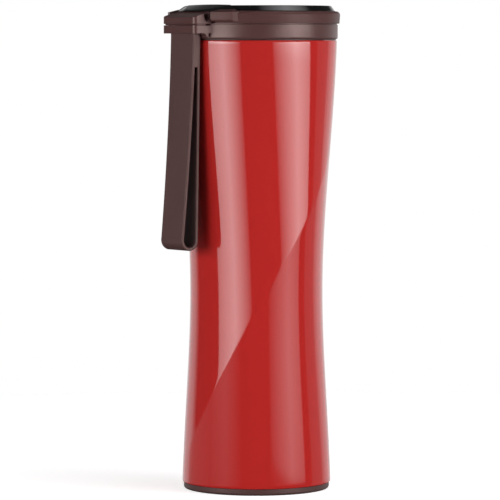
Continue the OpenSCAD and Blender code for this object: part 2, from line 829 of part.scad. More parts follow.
// Silicone pads under the cover: one over the drinking hole, one over the vent
module spout_seal() color(silicone)
    translate([0, 0, deck_z1 + run_gap])
    linear_extrude(height = cover_z0 - seat_gap - deck_z1 - run_gap) {
        difference() {
            spout_plan(spout_r + seal_margin);
            translate([spout_x, 0]) circle(r = sensor_r + seat_gap);
        }
        translate([vent_x, vent_y]) circle(r = vent_r + seal_margin);
    }

module sensor_cap() color(steel)
    translate([spout_x, 0, deck_z1 + run_gap])
    cylinder(r = sensor_r, h = cover_z0 - seat_gap - deck_z1 - run_gap);

module display_window() color(black_gloss)
    difference() {
        window_cone(0, window_z1);
        strap_side()
        translate([ridge_u - window_gap, -cover_r, cover_z1 - over])
        cube([2 * cover_r, 2 * cover_r, window_h + 2 * over]);
    }

// Raised segment over the hinge, falling from its ridge to the outer edge
module hinge_cap() color(black_gloss)
    intersection() {
        window_cone(0, ridge_z);
        strap_side()
        along_y(2 * cover_r)
        polygon([[ridge_u, cover_z1], [ridge_u, ridge_z], [window_r, ridge_z - ridge_fall],
                 [window_r, cover_z1]]);
    }

module display_module() color("darkslategray")
    translate([display_x - display_w / 2, -display_l / 2, display_z0])
    cube([display_w, display_l, display_z1 - display_z0]);

module circuit_board() color(board_green)
    difference() {
        translate([0, 0, board_z0]) cylinder(r = board_r, h = board_t);
        translate([-cell_u, 0, board_z0 - over]) cylinder(r = board_hole_r, h = board_t + 2 * over);
    }

module coin_cell() color(steel)
    translate([-cell_u, 0, cell_z0])
    rotate_extrude()
    difference() {
        box2(0, cell_r, 0, cell_t);
        corner_cut(cell_r, 0, cell_round, 1, -1);
    }

// Leaf that bridges the cell, with a foot on the board at each end
module battery_contact() color("goldenrod")
    translate([-cell_u - contact_w / 2, 0, 0]) {
        translate([0, -contact_half, contact_z0]) cube([contact_w, 2 * contact_half, contact_t]);
        for (s = [-1, 1])
            translate([0, s * (contact_half - contact_foot / 2) - contact_foot / 2, board_z1 + seat_gap])
            cube([contact_w, contact_foot, contact_z0 + contact_t - board_z1 - seat_gap]);
    }

// Battery hatch: bayonet lugs above the lip, coin slot below, groove for its seal ring
module battery_door() color(brown_plastic)
    translate([-cell_u, 0, 0])
    difference() {
        union() {
            translate([0, 0, cover_z0]) cylinder(r = door_r, h = base_plate_t);
            intersection() {
                translate([0, 0, cover_z0]) cylinder(r = door_r + door_lug - run_gap, h = base_plate_t);
                translate([-cover_r, -door_lug_w / 2, cover_z0 + door_lip_t + run_gap])
                cube([2 * cover_r, door_lug_w, base_plate_t]);
            }
        }
        translate([-door_slot_l / 2, -door_slot_w / 2, cover_z0 - over])
        cube([door_slot_l, door_slot_w, door_slot_d + over]);
        tube(door_r + over, door_r - door_seal_t - seat_gap, cover_z0 - over, cover_z0 + door_lip_t);
    }

module battery_door_seal() color("gainsboro")
    translate([-cell_u, 0, 0])
    tube(door_r, door_r - door_seal_t, cover_z0 + seat_gap, cover_z0 + door_lip_t - seat_gap);

// Strap piece: a single head that splits into two bands, joined again by the fold
module strap_loop() color(silicone)
    strap_side()
    difference() {
        union() {
            along_y(strap_w) translate([strap_u, bend_z]) circle(r = strap_nose);
            along_y(strap_w)
            polygon([[strap_u0, bend_z], [strap_u1, bend_z], [fold_u1, fold_z], [fold_u0, fold_z]]);
            along_y(strap_w) translate([fold_u, fold_z]) circle(r = fold_r);
        }
        along_y(strap_w + 2 * over)
        polygon([[strap_u + (fold_u - strap_u) * slit_drop / strap_l, bend_z - slit_drop],
                 [fold_u1 - band_t, fold_z], [fold_u0 + band_t, fold_z]]);
        along_y(strap_w + 2 * over) translate([fold_u, fold_z]) circle(r = fold_r - band_t);
    }

outer_shell();
inner_flask();
shell_bottom();
getter();
base_pad();
lid_gasket();
lid_collar();
lid_plug();
hinge_block();
lug_screws();
hinge_pin();
pin_spacers();
strap_root();
cover_ring();
cover_plate();
cover_screws();
spout_seal();
sensor_cap();
display_window();
hinge_cap();
display_module();
circuit_board();
coin_cell();
battery_contact();
battery_door();
battery_door_seal();
strap_loop();
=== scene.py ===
import json
import math

import bmesh
import bpy
from mathutils import Matrix, Vector


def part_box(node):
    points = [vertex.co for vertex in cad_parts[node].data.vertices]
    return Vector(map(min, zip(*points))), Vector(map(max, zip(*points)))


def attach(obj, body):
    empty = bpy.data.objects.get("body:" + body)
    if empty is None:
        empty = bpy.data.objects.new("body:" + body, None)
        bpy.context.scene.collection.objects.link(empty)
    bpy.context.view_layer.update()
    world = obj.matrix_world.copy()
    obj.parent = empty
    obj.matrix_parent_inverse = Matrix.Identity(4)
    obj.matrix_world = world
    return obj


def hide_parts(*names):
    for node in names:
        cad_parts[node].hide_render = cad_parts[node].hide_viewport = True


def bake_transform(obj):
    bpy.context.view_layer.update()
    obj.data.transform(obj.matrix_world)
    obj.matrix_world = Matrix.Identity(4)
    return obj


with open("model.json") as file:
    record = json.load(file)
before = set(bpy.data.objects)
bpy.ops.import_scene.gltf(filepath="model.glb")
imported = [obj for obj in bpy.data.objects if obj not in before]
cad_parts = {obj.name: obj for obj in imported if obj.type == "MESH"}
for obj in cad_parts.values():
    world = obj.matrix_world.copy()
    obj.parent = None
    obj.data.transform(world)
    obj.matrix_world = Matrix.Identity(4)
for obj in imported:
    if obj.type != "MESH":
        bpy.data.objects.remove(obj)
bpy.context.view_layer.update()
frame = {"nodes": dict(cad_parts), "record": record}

# Sizes are in metres, in the frame of the solids
MM = 0.001
UP = Vector((0, 0, 1))

# Painted shell: the solid's wall, with the crease bent a little more upright towards its ends
SHELL_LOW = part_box("outer_shell")[0].z
SHELL_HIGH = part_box("outer_shell")[1].z
TOP_R = 36.4 * MM
WAIST_R = 30 * MM
WAIST_Z = 89.6 * MM
BASE_R = 33.65 * MM
TOP_FLARE = 0.5
BASE_FLARE = 0.6
TOP_ROLL = 0.45 * MM
BASE_ROLL = 0.6 * MM
SHELL_WALL = 0.6 * MM
CREASE_OUT = 5.5 * MM
CREASE_SKEW = 0.3
CREASE_MID_Z = 83 * MM
CREASE_RISE = 61 * MM
CREASE_BEND = 11 * MM
CREASE_SIDE = math.radians(-36.4)
CREASE_SOFT = 1.1 * MM
SHELL_COLUMNS = 240
SHELL_ROWS = 180
ROLL_SHARE = 0.03
CREASE_SHARE = 0.42
ROW_BUNCH = 1.7

# Strap: a head in the lug that splits into two bands, joined by the fold
STRAP_HALF = 8.85 * MM
STRAP_TAPER = 0.085
STRAP_IN = 37.2 * MM
STRAP_OUT = 41.2 * MM
STRAP_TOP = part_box("strap_root")[1].z
BEND_Z = 203.425 * MM
SLIT_Z = 190.825 * MM
FOLD_IN = 38.1 * MM
FOLD_OUT = 47.2 * MM
FOLD_Z = 113.975 * MM
BAND = 1.5 * MM
BAND_SAG = 0.75 * MM
SLIT_HALF = 0.7 * MM
BAND_EDGE = 0.5 * MM
FOLD_STEPS = 20
LOOP_CUTS = 40
HEAD_CUTS = 12
NECK_CUTS = 8

# Plug thread
PLUG_R = 30.6 * MM
THREAD_START = 2.5 * MM
THREAD_LEAD = 5 * MM
THREAD_TURNS = 2.2
THREAD_STEPS = 72
THREAD_RISE = 0.25 * MM
THREAD_HALF = 0.9 * MM

# Hinge block, ears and hood: outwards from the axis on the strap side, slopes as ratios, crown per metre
BLOCK_EDGE_U = 43.2 * MM
BLOCK_EDGE_Z = 213.3 * MM
BLOCK_SLOPE = 0.32
BLOCK_ROUND = 0.15 * MM
EAR_TURN = math.radians(30)
EAR_R = 40 * MM
EAR_EDGE_Z = 215.5 * MM
EAR_SLOPE = 0.25
EAR_TIP_Y = 22 * MM
EAR_ROUND = 0.16 * MM
COVER_HIGH = 216.04 * MM
HOOD_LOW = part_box("hinge_cap")[0].z
HOOD_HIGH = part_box("hinge_cap")[1].z
WINDOW_R = 35.6 * MM
WINDOW_ROUND = 0.3 * MM
RIDGE_U = 26.2 * MM
HOOD_LEAN = 1.6
HOOD_SLOPE = 0.298
HOOD_CROWN = 0.9
HOOD_STEP = 2.5 * MM
HOOD_STEPS = 8
HOOD_COLUMNS = 128
HOOD_ROUND = 0.2 * MM

# Lips in the lid's shadow gaps
COLLAR_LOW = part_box("lid_collar")[0].z
COLLAR_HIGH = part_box("lid_collar")[1].z
COVER_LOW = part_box("cover_ring")[0].z
LIP_IN = 34.25 * MM
RIM_LIP_R = 35.9 * MM
GROOVE_LIP_R = 36.35 * MM
LIP_GAP = 0.06 * MM
LIP_COLUMNS = 144

# Mesh limits: welding distances, shortest edge to round on a crowded piece, bend that still counts as flat
WELD = 0.002 * MM
CUT_WELD = WELD / 10
CROWDED = 0.5 * MM
FLAT_LIMIT = math.radians(0.6)

# Least turn in degrees of the edges that are rounded
ANY_EDGE = 10
CLEAR_EDGE = 30
SHARP_EDGE = 50
SQUARE_EDGE = 70


# Mesh helpers

def add_piece(name, bm, material, nodes=(), sharp=40):
    """A finished object from a bmesh, at the origin, which stands for the given CAD nodes."""
    mesh = bpy.data.meshes.new(name)
    bm.to_mesh(mesh)
    bm.free()
    mesh.materials.append(material)
    mesh.shade_smooth()
    mesh.set_sharp_from_angle(angle=math.radians(sharp))
    piece = bpy.data.objects.new(name, mesh)
    bpy.context.scene.collection.objects.link(piece)
    if nodes:
        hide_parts(*nodes)
    return piece


def even_shading(piece):
    """Keeps the flats flat between rounded edges."""
    weighted = piece.modifiers.new("even_shading", "WEIGHTED_NORMAL")
    weighted.keep_sharp = True
    return piece


def merged_copy(node):
    """A CAD node's mesh with its corners joined and its flat facets made one."""
    bm = bmesh.new()
    bm.from_mesh(frame["nodes"][node].data)
    bmesh.ops.remove_doubles(bm, verts=bm.verts[:], dist=WELD)
    bmesh.ops.dissolve_degenerate(bm, edges=bm.edges[:], dist=WELD)
    bmesh.ops.dissolve_limit(bm, angle_limit=FLAT_LIMIT, verts=bm.verts[:], edges=bm.edges[:])
    return bm


def planed(bm, point, normal):
    """Cuts off what lies beyond a plane and closes the cut."""
    cut = bmesh.ops.bisect_plane(bm, geom=bm.verts[:] + bm.edges[:] + bm.faces[:], dist=CUT_WELD,
                                 plane_co=point, plane_no=normal, clear_outer=True)
    rim = [g for g in cut["geom_cut"] if isinstance(g, bmesh.types.BMEdge)]
    bmesh.ops.edgenet_fill(bm, edges=rim)
    bmesh.ops.recalc_face_normals(bm, faces=bm.faces[:])


def turning_edges(bm, least):
    """Edges where two faces turn by more than the least angle in degrees."""
    return [e for e in bm.edges if e.is_manifold and math.degrees(e.calc_face_angle(0)) > least]


def rounded(bm, edges, width, segments):
    """Rounds the given edges."""
    bmesh.ops.bevel(bm, geom=edges, offset=width, offset_type="OFFSET", segments=segments, profile=0.5,
                    affect="EDGES", clamp_overlap=False, material=-1)


def round_edges(bm, width, segments, least, shortest=0):
    """Rounds the edges that are long enough and turn by more than the least angle in degrees."""
    bmesh.ops.triangulate(bm, faces=[f for f in bm.faces if len(f.verts) > 4])
    edges = [e for e in turning_edges(bm, least) if e.calc_length() > shortest]
    rounded(bm, edges, width, segments)


def body_of(node):
    """Name of the body that a CAD node rides on."""
    return next(b for b, nodes in frame["record"]["behaviour"]["bodies"].items() if node in nodes)


def rigid_piece(name, bm, node, material=None):
    """A finished piece in the place of a rigid node, riding where the node rides."""
    slot = SLOT_OF[node]
    piece = add_piece(name, bm, material or MATERIALS[slot], (node,))
    even_shading(piece)
    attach(piece, body_of(node))
    return piece


# Shader helpers

def tone(red, green, blue):
    """Linear colour of a tone given in display steps from 0 to 255."""
    steps = [c / 255 for c in (red, green, blue)]
    return tuple(c / 12.92 if c <= 0.04045 else ((c + 0.055) / 1.055) ** 2.4 for c in steps) + (1,)


def node_in(tree, kind, **settings):
    """A new node with its settings; sockets are set by the caller."""
    made = tree.nodes.new(kind)
    for name, value in settings.items():
        setattr(made, name, value)
    return made


def socket_group(name, inputs, outputs):
    """An empty shader node group with named sockets; inputs are (name, type, default)."""
    group = bpy.data.node_groups.new(name, "ShaderNodeTree")
    for title, kind, default in inputs:
        socket = group.interface.new_socket(name=title, in_out="INPUT", socket_type=kind)
        socket.default_value = default
    for title, kind in outputs:
        group.interface.new_socket(name=title, in_out="OUTPUT", socket_type=kind)
    return group, group.nodes.new("NodeGroupInput"), group.nodes.new("NodeGroupOutput")


def tone_drift_group():
    """Slow change between two close tones over a surface."""
    group, given, result = socket_group(
        "tone_drift",
        [("Light Tone", "NodeSocketColor", (0.5, 0.5, 0.5, 1)),
         ("Dark Tone", "NodeSocketColor", (0.4, 0.4, 0.4, 1)),
         ("Scale", "NodeSocketFloat", 40)],
        [("Color", "NodeSocketColor")])
    place = node_in(group, "ShaderNodeTexCoord")
    noise = node_in(group, "ShaderNodeTexNoise")
    noise.inputs["Detail"].default_value = 3
    mix = node_in(group, "ShaderNodeMix", data_type="RGBA")
    link = group.links.new
    link(place.outputs["Object"], noise.inputs["Vector"])
    link(given.outputs["Scale"], noise.inputs["Scale"])
    link(noise.outputs["Fac"], mix.inputs["Factor"])
    link(given.outputs["Dark Tone"], mix.inputs[6])
    link(given.outputs["Light Tone"], mix.inputs[7])
    link(mix.outputs[2], result.inputs["Color"])
    return group


def handling_group():
    """Roughness between a polished and a dulled value, in soft smudges."""
    group, given, result = socket_group(
        "handling",
        [("Polished", "NodeSocketFloat", 0.1),
         ("Dulled", "NodeSocketFloat", 0.2),
         ("Scale", "NodeSocketFloat", 60)],
        [("Roughness", "NodeSocketFloat")])
    place = node_in(group, "ShaderNodeTexCoord")
    smudge = node_in(group, "ShaderNodeTexNoise")
    smudge.inputs["Detail"].default_value = 4
    smudge.inputs["Distortion"].default_value = 0.6
    spread = node_in(group, "ShaderNodeMapRange")
    spread.inputs["From Min"].default_value = 0.35
    spread.inputs["From Max"].default_value = 0.7
    link = group.links.new
    link(place.outputs["Object"], smudge.inputs["Vector"])
    link(given.outputs["Scale"], smudge.inputs["Scale"])
    link(smudge.outputs["Fac"], spread.inputs["Value"])
    link(given.outputs["Polished"], spread.inputs["To Min"])
    link(given.outputs["Dulled"], spread.inputs["To Max"])
    link(spread.outputs["Result"], result.inputs["Roughness"])
    return group


def fine_grain_group():
    """Height of a fine moulded or sprayed grain."""
    group, given, result = socket_group(
        "fine_grain",
        [("Scale", "NodeSocketFloat", 2500), ("Pebble", "NodeSocketFloat", 0.5)],
        [("Height", "NodeSocketFloat")])
    place = node_in(group, "ShaderNodeTexCoord")
    noise = node_in(group, "ShaderNodeTexNoise")
    noise.inputs["Detail"].default_value = 2
    cells = node_in(group, "ShaderNodeTexVoronoi", feature="SMOOTH_F1")
    mix = node_in(group, "ShaderNodeMix", data_type="FLOAT")
    link = group.links.new
    for texture in (noise, cells):
        link(place.outputs["Object"], texture.inputs["Vector"])
        link(given.outputs["Scale"], texture.inputs["Scale"])
    link(given.outputs["Pebble"], mix.inputs["Factor"])
    link(noise.outputs["Fac"], mix.inputs[2])
    link(cells.outputs["Distance"], mix.inputs[3])
    link(mix.outputs[0], result.inputs["Height"])
    return group


def turned_marks_group():
    """Height of turning marks that run round the Z axis."""
    group, given, result = socket_group(
        "turned_marks", [("Scale", "NodeSocketFloat", 900)], [("Height", "NodeSocketFloat")])
    place = node_in(group, "ShaderNodeTexCoord")
    stretch = node_in(group, "ShaderNodeMapping")
    stretch.inputs["Scale"].default_value = (0.04, 0.04, 4)
    noise = node_in(group, "ShaderNodeTexNoise")
    noise.inputs["Detail"].default_value = 3
    link = group.links.new
    link(place.outputs["Object"], stretch.inputs["Vector"])
    link(stretch.outputs["Vector"], noise.inputs["Vector"])
    link(given.outputs["Scale"], noise.inputs["Scale"])
    link(noise.outputs["Fac"], result.inputs["Height"])
    return group


GROUPS = {
    "drift": tone_drift_group(),
    "handling": handling_group(),
    "grain": fine_grain_group(),
    "marks": turned_marks_group(),
}


def place_group(tree, key, **values):
    """One of the shared groups, placed in a material with its own values."""
    made = node_in(tree, "ShaderNodeGroup", node_tree=GROUPS[key])
    for title, value in values.items():
        made.inputs[title.replace("_", " ")].default_value = value
    return made


def finish_material(name, light, dark, drift, polished, dulled, smudge, height, strength, distance,
                    **constants):
    """A material of the shared effects: two tones, a roughness range and a bump height group."""
    material = bpy.data.materials.new(name)
    material.use_nodes = True
    tree = material.node_tree
    shader = tree.nodes["Principled BSDF"]
    for title, value in constants.items():
        shader.inputs[title.replace("_", " ")].default_value = value
    colour = place_group(tree, "drift", Light_Tone=light, Dark_Tone=dark, Scale=drift)
    rough = place_group(tree, "handling", Polished=polished, Dulled=dulled, Scale=smudge)
    bump = node_in(tree, "ShaderNodeBump")
    bump.inputs["Strength"].default_value = strength
    bump.inputs["Distance"].default_value = distance
    relief = place_group(tree, height[0], **height[1])
    link = tree.links.new
    link(colour.outputs["Color"], shader.inputs["Base Color"])
    link(rough.outputs["Roughness"], shader.inputs["Roughness"])
    link(relief.outputs["Height"], bump.inputs["Height"])
    link(bump.outputs["Normal"], shader.inputs["Normal"])
    return material


def red_lacquer():
    return finish_material(
        "gloss_red_lacquer", tone(182, 39, 36), tone(178, 38, 35),
        drift=25, polished=0.05, dulled=0.09, smudge=30,
        height=("grain", {"Scale": 420, "Pebble": 0.2}), strength=0.02, distance=0.1 * MM)


BROWN_SHEEN = (1, 0.78, 0.74, 1)


def satin_brown():
    return finish_material(
        "satin_brown_plastic", tone(84, 56, 54), tone(76, 50, 49),
        drift=60, polished=0.3, dulled=0.4, smudge=90,
        height=("grain", {"Scale": 3200, "Pebble": 0.6}), strength=0.12, distance=0.05 * MM,
        Specular_Tint=BROWN_SHEEN)


def dull_brown():
    """The satin brown with less shine, on the flip cover's ring."""
    return finish_material(
        "dull_brown_plastic", tone(84, 56, 54), tone(76, 50, 49),
        drift=60, polished=0.36, dulled=0.46, smudge=90,
        height=("grain", {"Scale": 3200, "Pebble": 0.6}), strength=0.12, distance=0.05 * MM,
        Specular_IOR_Level=0.2, Specular_Tint=BROWN_SHEEN)


def soft_brown():
    return finish_material(
        "soft_brown_silicone", tone(79, 55, 53), tone(72, 49, 48),
        drift=45, polished=0.45, dulled=0.56, smudge=70,
        height=("grain", {"Scale": 2600, "Pebble": 0.4}), strength=0.12, distance=0.05 * MM,
        Specular_Tint=BROWN_SHEEN)


def milky_silicone():
    return finish_material(
        "milky_clear_silicone", tone(222, 222, 216), tone(204, 204, 198),
        drift=80, polished=0.4, dulled=0.5, smudge=70,
        height=("grain", {"Scale": 1800, "Pebble": 0.3}), strength=0.08, distance=0.05 * MM)


def matte_black():
    return finish_material(
        "matte_black_plastic", tone(30, 30, 32), tone(22, 22, 24),
        drift=60, polished=0.45, dulled=0.58, smudge=80,
        height=("grain", {"Scale": 3000, "Pebble": 0.6}), strength=0.15, distance=0.05 * MM)


def gloss_black():
    return finish_material(
        "deep_black_gloss", tone(16, 16, 17), tone(10, 11, 11),
        drift=40, polished=0.06, dulled=0.14, smudge=45,
        height=("grain", {"Scale": 600, "Pebble": 0.2}), strength=0.02, distance=0.05 * MM)


def satin_steel():
    return finish_material(
        "satin_turned_steel", tone(206, 207, 210), tone(188, 189, 193),
        drift=70, polished=0.22, dulled=0.36, smudge=60,
        height=("marks", {"Scale": 900}), strength=0.12, distance=0.05 * MM, Metallic=1)


def green_board():
    return finish_material(
        "green_circuit_lacquer", tone(36, 104, 66), tone(26, 84, 52),
        drift=120, polished=0.3, dulled=0.42, smudge=120,
        height=("grain", {"Scale": 1500, "Pebble": 0.8}), strength=0.1, distance=0.05 * MM)


def spring_brass():
    return finish_material(
        "plated_spring_brass", tone(214, 176, 96), tone(196, 156, 80),
        drift=150, polished=0.2, dulled=0.34, smudge=120,
        height=("marks", {"Scale": 1500}), strength=0.1, distance=0.03 * MM, Metallic=1)


# One finish for each of the record's material slots
SLOT_OF = {s["node"]: s["material_slot"] for s in frame["record"]["subparts"]}
MATERIALS = {
    "red_paint": red_lacquer(),
    "brown_plastic": satin_brown(),
    "brown_silicone": soft_brown(),
    "clear_silicone": milky_silicone(),
    "black_plastic": matte_black(),
    "black_gloss": gloss_black(),
    "steel": satin_steel(),
    "board_green": green_board(),
    "contact_brass": spring_brass(),
}


# Painted shell

def eased(t, slope):
    """Rise from 0 to 1 that starts level and ends with the given slope."""
    return (3 - slope) * t ** 2 - (2 - slope) * t ** 3


def body_r(z):
    """Radius of the shell without its crease."""
    if z >= WAIST_Z:
        return WAIST_R + (TOP_R - WAIST_R) * eased((z - WAIST_Z) / (SHELL_HIGH - WAIST_Z), TOP_FLARE)
    return WAIST_R + (BASE_R - WAIST_R) * eased((WAIST_Z - z) / (WAIST_Z - SHELL_LOW), BASE_FLARE)


def crease_z(a):
    """Height of the crease at an angle round the mug."""
    aside = math.cos(a - CREASE_SIDE)
    return CREASE_MID_Z + CREASE_RISE * aside + CREASE_BEND * aside ** 3


def crease_pull(a, z):
    """How far the wall is pulled out, like a string held at both ends, with the crease a little rounded."""
    middle = (z + crease_z(a)) / 2
    apart = math.hypot(z - crease_z(a), CREASE_SOFT) / 2
    aside = math.cos(a - CREASE_SIDE)
    reach = (1 - aside ** 4) * (1 + CREASE_SKEW * aside)
    below = max(0, middle - apart - SHELL_LOW)
    above = max(0, SHELL_HIGH - middle - apart)
    return CREASE_OUT * reach * 4 * below * above / (SHELL_HIGH - SHELL_LOW) ** 2


def skin_point(t, a):
    """Point of the skin at share t of its rows and angle a; the rows bunch up along the crease."""
    low, high, roll = SHELL_LOW + BASE_ROLL, SHELL_HIGH - TOP_ROLL, 0
    if t < ROLL_SHARE:
        turn = math.pi / 2 * t / ROLL_SHARE
        z = SHELL_LOW + BASE_ROLL * (1 - math.cos(turn))
        roll = BASE_ROLL * (1 - math.sin(turn))
    elif t <= CREASE_SHARE:
        part = (t - ROLL_SHARE) / (CREASE_SHARE - ROLL_SHARE)
        z = low + (crease_z(a) - low) * (1 - (1 - part) ** ROW_BUNCH)
    elif t <= 1 - ROLL_SHARE:
        part = (t - CREASE_SHARE) / (1 - ROLL_SHARE - CREASE_SHARE)
        z = crease_z(a) + (high - crease_z(a)) * part ** ROW_BUNCH
    else:
        turn = math.pi / 2 * (t - 1 + ROLL_SHARE) / ROLL_SHARE
        z = high + TOP_ROLL * math.sin(turn)
        roll = TOP_ROLL * (1 - math.cos(turn))
    r = body_r(z) + crease_pull(a, z) - roll
    return Vector((r * math.cos(a), r * math.sin(a), z))


def painted_shell():
    """Red skin of the mug: an open tube shaped row by row, with the sheet's thickness inwards."""
    bm = bmesh.new()
    bmesh.ops.create_cone(bm, cap_ends=False, segments=SHELL_COLUMNS, radius1=1, radius2=1, depth=1)
    upright = [e for e in bm.edges if abs(e.verts[0].co.z - e.verts[1].co.z) > 0.5]
    bmesh.ops.subdivide_edges(bm, edges=upright, cuts=SHELL_ROWS - 1, use_grid_fill=True)
    for v in bm.verts:
        v.co = skin_point(v.co.z + 0.5, math.atan2(v.co.y, v.co.x))
    bmesh.ops.recalc_face_normals(bm, faces=bm.faces[:])
    piece = add_piece("painted_shell", bm, MATERIALS["red_paint"], ("outer_shell",), sharp=80)
    wall = piece.modifiers.new("wall", "SOLIDIFY")
    wall.thickness = SHELL_WALL
    wall.offset = -1
    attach(piece, "mug")
    return piece


# Strap

def raised(bm, low, high, places):
    """Extrudes the edges at one height up to another; places maps old distances from the axis to new ones."""
    edges = [e for e in bm.edges if all(abs(v.co.z - low) < WELD for v in e.verts)]
    made = bmesh.ops.extrude_edge_only(bm, edges=edges)["geom"]
    for v in (g for g in made if isinstance(g, bmesh.types.BMVert)):
        old = min(places, key=lambda u: abs(u + v.co.x))
        v.co = Vector((-places[old], v.co.y, high))
    bmesh.ops.remove_doubles(bm, verts=bm.verts[:], dist=WELD)


def split_rows(bm, low, high, cuts):
    """Cuts the long edges between two heights into even rows."""
    long_edges = [e for e in bm.edges if abs(min(v.co.z for v in e.verts) - low) < WELD
                  and abs(max(v.co.z for v in e.verts) - high) < WELD]
    bmesh.ops.subdivide_edges(bm, edges=long_edges, cuts=cuts, use_grid_fill=True)


def hang(bm):
    """Lets the outer band sag towards the mug and narrows the strap towards its fold."""
    for v in bm.verts:
        t = min(1, max(0, (BEND_Z - v.co.z) / (BEND_Z - FOLD_Z)))
        near = STRAP_IN + (FOLD_IN - STRAP_IN) * t
        far = STRAP_OUT + (FOLD_OUT - STRAP_OUT) * t
        share = (-v.co.x - near) / (far - near)
        v.co.x += share * 4 * BAND_SAG * t * (1 - t)
        v.co.y *= 1 - STRAP_TAPER * t


def carry_strap():
    """Strap drawn from its side, from the fold up to its end in the lug, and made solid across its width."""
    middle = (STRAP_IN + STRAP_OUT) / 2
    centre = (FOLD_IN + FOLD_OUT) / 2
    t = (BEND_Z - SLIT_Z) / (BEND_Z - FOLD_Z)
    slit_in = STRAP_IN + (FOLD_IN - STRAP_IN) * t
    slit_mid = middle + (centre - middle) * t
    slit_out = STRAP_OUT + (FOLD_OUT - STRAP_OUT) * t
    bm = bmesh.new()
    outer = bm.verts.new((-FOLD_OUT, -STRAP_HALF, FOLD_Z))
    inner = bm.verts.new((-FOLD_OUT + BAND, -STRAP_HALF, FOLD_Z))
    start = bm.edges.new((outer, inner))
    bmesh.ops.spin(bm, geom=[outer, inner, start], cent=(-centre, -STRAP_HALF, FOLD_Z), axis=(0, 1, 0),
                   angle=-math.pi, steps=FOLD_STEPS)
    raised(bm, FOLD_Z, SLIT_Z, {FOLD_OUT: slit_out, FOLD_OUT - BAND: slit_mid + SLIT_HALF,
                                FOLD_IN + BAND: slit_mid - SLIT_HALF, FOLD_IN: slit_in})
    bm.edges.new([v for v in bm.verts
                  if abs(v.co.z - SLIT_Z) < WELD and abs(slit_mid + v.co.x) < 2 * SLIT_HALF])
    raised(bm, SLIT_Z, BEND_Z, {slit_out: STRAP_OUT, slit_mid + SLIT_HALF: middle + SLIT_HALF,
                                slit_mid - SLIT_HALF: middle - SLIT_HALF, slit_in: STRAP_IN})
    neck = (STRAP_OUT, middle + SLIT_HALF, middle - SLIT_HALF, STRAP_IN)
    raised(bm, BEND_Z, STRAP_TOP, {u: u for u in neck})
    split_rows(bm, FOLD_Z, SLIT_Z, LOOP_CUTS)
    split_rows(bm, SLIT_Z, BEND_Z, HEAD_CUTS)
    split_rows(bm, BEND_Z, STRAP_TOP, NECK_CUTS)
    side = bmesh.ops.extrude_face_region(bm, geom=bm.faces[:])["geom"]
    bmesh.ops.translate(bm, verts=[g for g in side if isinstance(g, bmesh.types.BMVert)],
                        vec=(0, 2 * STRAP_HALF, 0))
    bmesh.ops.recalc_face_normals(bm, faces=bm.faces[:])
    border = [e for e in turning_edges(bm, SQUARE_EDGE) if abs(e.verts[0].co.y - e.verts[1].co.y) < WELD]
    rounded(bm, border, BAND_EDGE, segments=3)
    hang(bm)
    piece = add_piece("carry_strap", bm, MATERIALS["brown_silicone"],
                      ("strap_loop", "strap_root"), sharp=60)
    even_shading(piece)
    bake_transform(piece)
    return piece


# Plug thread

def plug_thread():
    """Screw thread that winds up the lid's plug."""
    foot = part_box("lid_plug")[0].z + THREAD_START
    bm = bmesh.new()
    profile = [bm.verts.new((PLUG_R + dr, 0, foot + dz)) for dr, dz in (
        (-THREAD_RISE, -THREAD_HALF), (THREAD_RISE, -THREAD_HALF / 3), (THREAD_RISE, THREAD_HALF / 3),
        (-THREAD_RISE, THREAD_HALF))]
    face = bm.faces.new(profile)
    steps = int(THREAD_TURNS * THREAD_STEPS)
    bmesh.ops.spin(bm, geom=[face], cent=(0, 0, 0), axis=UP, angle=THREAD_TURNS * 2 * math.pi,
                   dvec=UP * THREAD_LEAD * THREAD_TURNS / steps, steps=steps)
    bmesh.ops.recalc_face_normals(bm, faces=bm.faces[:])
    piece = add_piece("plug_thread", bm, MATERIALS["brown_plastic"])
    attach(piece, "lid")
    return piece


# Lid details

def sloping_block():
    """Hinge block whose top slopes down to its outer edge."""
    bm = merged_copy("hinge_block")
    planed(bm, (-BLOCK_EDGE_U, 0, BLOCK_EDGE_Z), (-BLOCK_SLOPE, 0, 1))
    round_edges(bm, BLOCK_ROUND, segments=3, least=SHARP_EDGE)
    return rigid_piece("hinge_knuckle_block", bm, "hinge_block")


def ear_ways():
    """Level directions from the axis to the two hinge ears."""
    return [Vector((-math.cos(EAR_TURN), side * math.sin(EAR_TURN), 0)) for side in (1, -1)]


def eared_ring():
    """Flip cover's ring, with the tops of its two hinge ears falling away outwards."""
    bm = merged_copy("cover_ring")
    for out in ear_ways():
        planed(bm, out * EAR_R + UP * EAR_EDGE_Z, out * EAR_SLOPE + UP)
    for v in bm.verts:
        if abs(v.co.y) > EAR_TIP_Y:
            v.co.z = min(v.co.z, COVER_HIGH)
    round_edges(bm, EAR_ROUND, segments=3, least=CLEAR_EDGE)
    return rigid_piece("flip_ring", bm, "cover_ring", dull_brown())


def glass_window():
    """Black top of the cover; its rim leans in like the hood's where the two meet."""
    bm = merged_copy("display_window")
    for out in ear_ways():
        planed(bm, out * WINDOW_R + UP * HOOD_LOW, out + UP * HOOD_LEAN)
    round_edges(bm, WINDOW_ROUND, segments=4, least=CLEAR_EDGE)
    return rigid_piece("glass_window", bm, "display_window")


